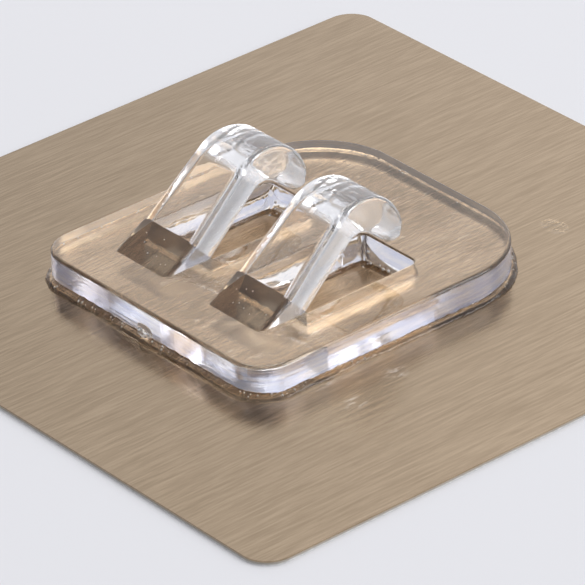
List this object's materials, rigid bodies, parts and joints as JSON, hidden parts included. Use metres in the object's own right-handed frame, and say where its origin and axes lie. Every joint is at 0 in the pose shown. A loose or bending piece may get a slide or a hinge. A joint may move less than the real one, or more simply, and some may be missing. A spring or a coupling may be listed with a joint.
{
  "type": "adhesive wall hook",
  "caption": "Square brushed champagne sticker with a clear moulded plate bonded to it, carrying side-by-side curled hooks that hold a rack rail; a liner covers the wall adhesive.",
  "frame": {"origin": "middle of the release liner's back face, under the middle of the square sticker", "axes": "+Z out of the wall, +Y up the wall in use, +X across the two hooks"},
  "size_m": [0.08, 0.08, 0.0132],
  "materials": {
    "clear_plate": "clear polycarbonate, polished",
    "clear_glue": "clear cured glue, wet-looking",
    "brushed_film": "brushed champagne metallised face",
    "soft_adhesive": "soft translucent acrylic adhesive",
    "liner": "white release-coated liner"
  },
  "bodies": {
    "sticker": {"hook_plate": "clear_plate", "bonding_glue": "clear_glue", "face_film": "brushed_film", "wall_adhesive": "soft_adhesive"},
    "liner": {"release_liner": "liner"}
  },
  "joints": [
    {"name": "liner_pull", "type": "slide", "parent": "sticker", "child": "liner", "axis": [0, 0, -1], "range_m": [0, 0.03]}
  ]
}
